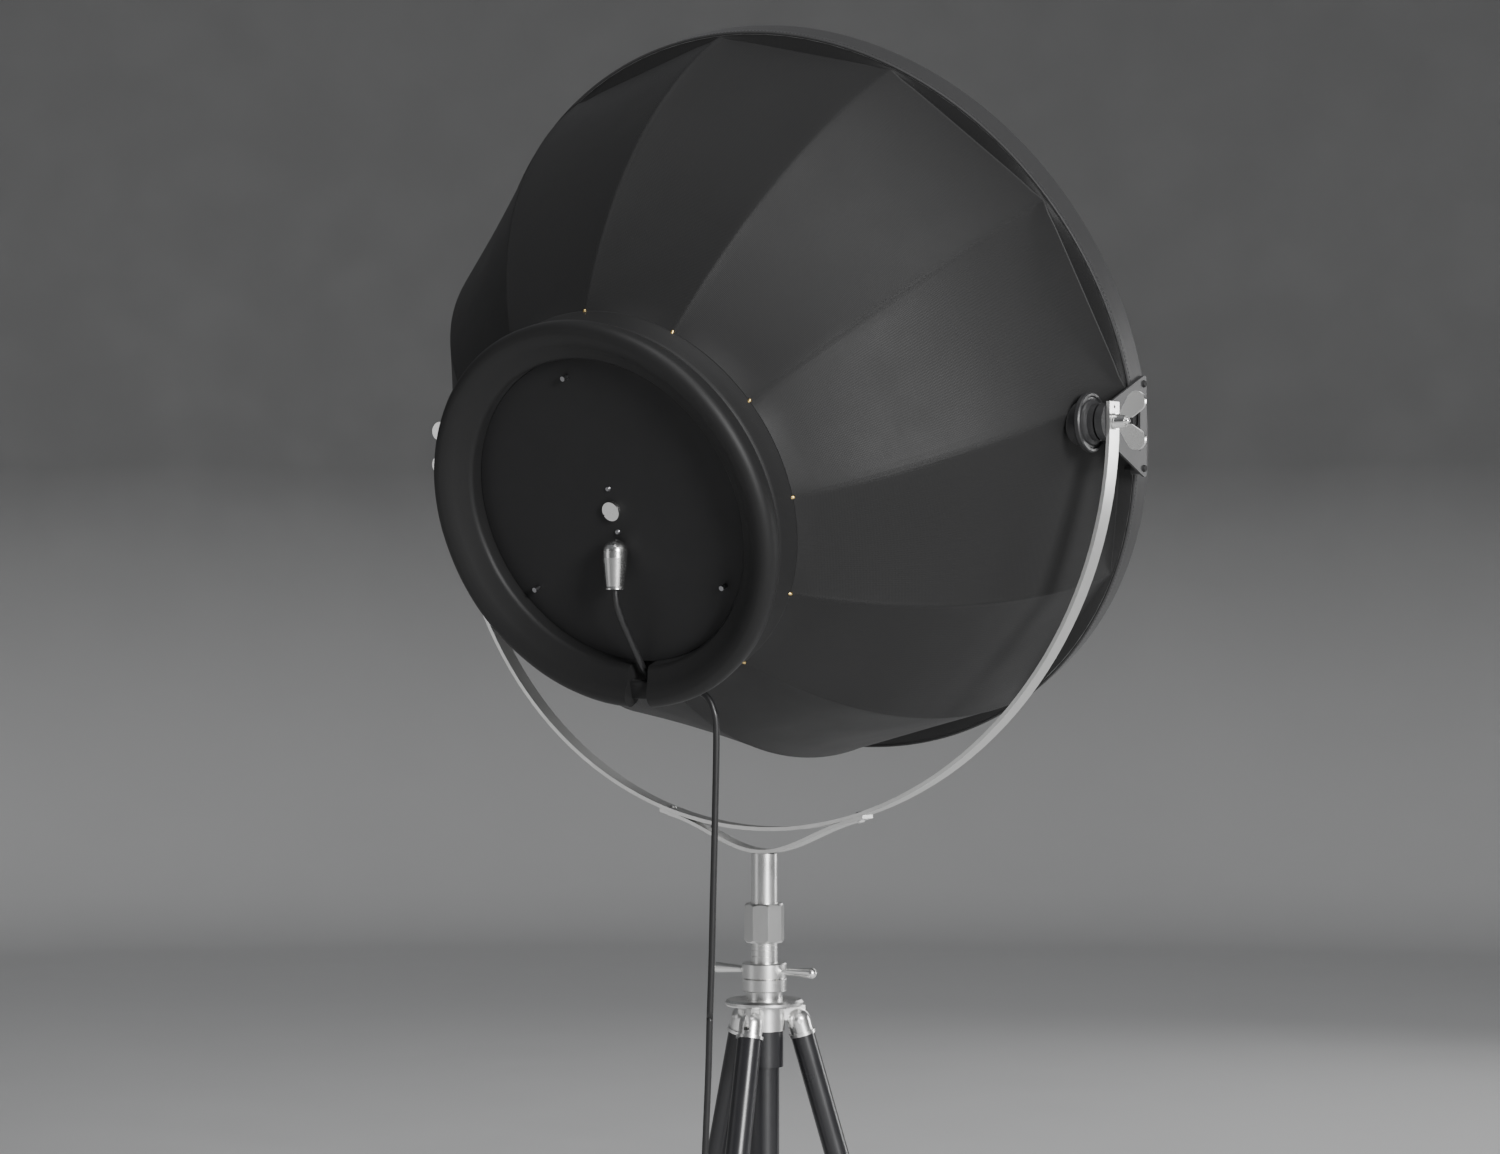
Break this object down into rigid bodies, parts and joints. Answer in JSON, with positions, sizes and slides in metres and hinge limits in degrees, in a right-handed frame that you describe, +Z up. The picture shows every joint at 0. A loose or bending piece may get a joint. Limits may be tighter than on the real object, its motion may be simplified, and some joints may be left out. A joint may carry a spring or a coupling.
{
  "type": "umbrella reflector lamp on a tripod",
  "caption": "Studio lamp: a ribbed black fabric reflector shade tilting in a U-shaped yoke on a telescopic mast and folding tripod, with a supply cord",
  "frame": {"origin": "middle of the footprint, on the floor", "axes": "+X to the lamp's own left when seen from the front, +Y to the rear, +Z up; the light shines to -Y"},
  "size_m": [1.0584, 0.7046, 2.2375],
  "materials": {
    "satin_metal": "satin turned and drawn metal",
    "black_tube": "satin black enamel",
    "dark_plate": "near-black matte paint",
    "grey_plate": "mid-grey satin paint",
    "black_plastic": "moulded, lightly textured",
    "rubber_foot": "moulded rubber",
    "bright_metal": "bright machined metal",
    "brass_fitting": "plain brass",
    "black_cloth": "dark grey-black coated cloth with a soft sheen",
    "padded_cloth": "black padded cloth",
    "white_cloth": "silver-white reflective lining",
    "rim_cloth": "smooth dark grey binding over a hoop",
    "rib_steel": "spring steel wire",
    "ceramic_holder": "glazed lampholder",
    "frosted_glass": "frosted bulb",
    "cord_jacket": "dark grey sheathed cord"
  },
  "bodies": {
    "stand": {"tripod_flange": "satin_metal", "tripod_hub": "satin_metal", "column_sleeve": "black_tube", "column_tube": "black_tube", "column_end_cap": "black_plastic", "lower_clamp_ring": "satin_metal", "clamp_collet": "brass_fitting", "cord_lower": "cord_jacket", "cord_coil": "cord_jacket", "cord_link": "cord_jacket", "cord_tail": "cord_jacket", "switch_body": "black_plastic", "plug_body": "black_plastic", "plug_pins": "bright_metal"},
    "leg_1": {"leg_1_cap": "satin_metal", "leg_1_tube": "black_tube", "leg_1_foot": "rubber_foot", "leg_1_pin": "satin_metal"},
    "leg_2": {"leg_2_cap": "satin_metal", "leg_2_tube": "black_tube", "leg_2_foot": "rubber_foot", "leg_2_pin": "satin_metal"},
    "leg_3": {"leg_3_cap": "satin_metal", "leg_3_tube": "black_tube", "leg_3_foot": "rubber_foot", "leg_3_pin": "satin_metal"},
    "clamp": {"clamp_ring": "satin_metal", "clamp_handles": "satin_metal"},
    "mast": {"mast_pole": "satin_metal", "mast_guide": "black_plastic", "cord_middle": "cord_jacket"},
    "lock_nut": {"swivel_nut": "satin_metal"},
    "yoke": {"yoke_stub": "satin_metal", "yoke_support": "satin_metal", "yoke_strip": "satin_metal", "yoke_rivets": "satin_metal", "cord_drop": "cord_jacket"},
    "nut_left": {"wing_nut_left": "bright_metal"},
    "nut_right": {"wing_nut_right": "bright_metal"},
    "button": {"switch_button": "black_plastic"},
    "head": {"shade_cover": "black_cloth", "shade_lining": "white_cloth", "ribs": "rib_steel", "rib_roots": "brass_fitting", "rim_band": "rim_cloth", "hub_plate": "dark_plate", "back_plate": "dark_plate", "plate_studs": "dark_plate", "plate_screws": "dark_plate", "centre_screw": "bright_metal", "rear_ring": "padded_cloth", "rear_band": "black_cloth", "pivot_bosses": "black_plastic", "pivot_bolts": "bright_metal", "brackets": "grey_plate", "bracket_screws": "dark_plate", "bracket_pads": "black_plastic", "cable_gland": "bright_metal", "cord_clip": "black_plastic", "lampholder": "ceramic_holder", "bulb_base": "bright_metal", "bulb_glass": "frosted_glass", "cord_upper": "cord_jacket"}
  },
  "joints": [
    {"name": "leg_1_fold", "type": "hinge", "parent": "stand", "child": "leg_1", "pos_m": [-0.03173, -0.10607, 1.017], "axis": [0.6691, -0.7431, 0], "range_deg": [0, 16]},
    {"name": "leg_2_fold", "type": "hinge", "parent": "stand", "child": "leg_2", "pos_m": [0.04061, -0.09069, 1.017], "axis": [0.309, 0.9511, 0], "range_deg": [0, 16]},
    {"name": "leg_3_fold", "type": "hinge", "parent": "stand", "child": "leg_3", "pos_m": [-0.00888, -0.03573, 1.017], "axis": [-0.9781, -0.2079, 0], "range_deg": [0, 16]},
    {"name": "clamp_turn", "type": "hinge", "parent": "stand", "child": "clamp", "pos_m": [0, -0.0775, 1.0788], "axis": [0, 0, 1], "range_deg": [-20, 70]},
    {"name": "mast_lift", "type": "slide", "parent": "stand", "child": "mast", "axis": [0, 0, 1], "range_m": [-0.02, 0.42], "deforming": ["cord_lower"]},
    {"name": "lock_nut_turn", "type": "hinge", "parent": "mast", "child": "lock_nut", "pos_m": [0, -0.0775, 1.1374], "axis": [0, 0, 1], "continuous": true},
    {"name": "yoke_swivel", "type": "hinge", "parent": "mast", "child": "yoke", "pos_m": [0, -0.0775, 1.2], "axis": [0, 0, 1], "range_deg": [-45, 45], "deforming": ["cord_middle"]},
    {"name": "head_tilt", "type": "hinge", "parent": "yoke", "child": "head", "pos_m": [0, -0.0775, 1.74], "axis": [1, 0, 0], "range_deg": [-30, 40], "deforming": ["cord_drop"]},
    {"name": "nut_left_turn", "type": "hinge", "parent": "yoke", "child": "nut_left", "pos_m": [-0.496, -0.0775, 1.74], "axis": [1, 0, 0], "continuous": true},
    {"name": "nut_right_turn", "type": "hinge", "parent": "yoke", "child": "nut_right", "pos_m": [0.496, -0.0775, 1.74], "axis": [1, 0, 0], "continuous": true},
    {"name": "button_press", "type": "slide", "parent": "stand", "child": "button", "axis": [0, 0, -1], "range_m": [0, 0.003], "stiffness_N_per_m": 300, "springref_m": -0.001}
  ]
}
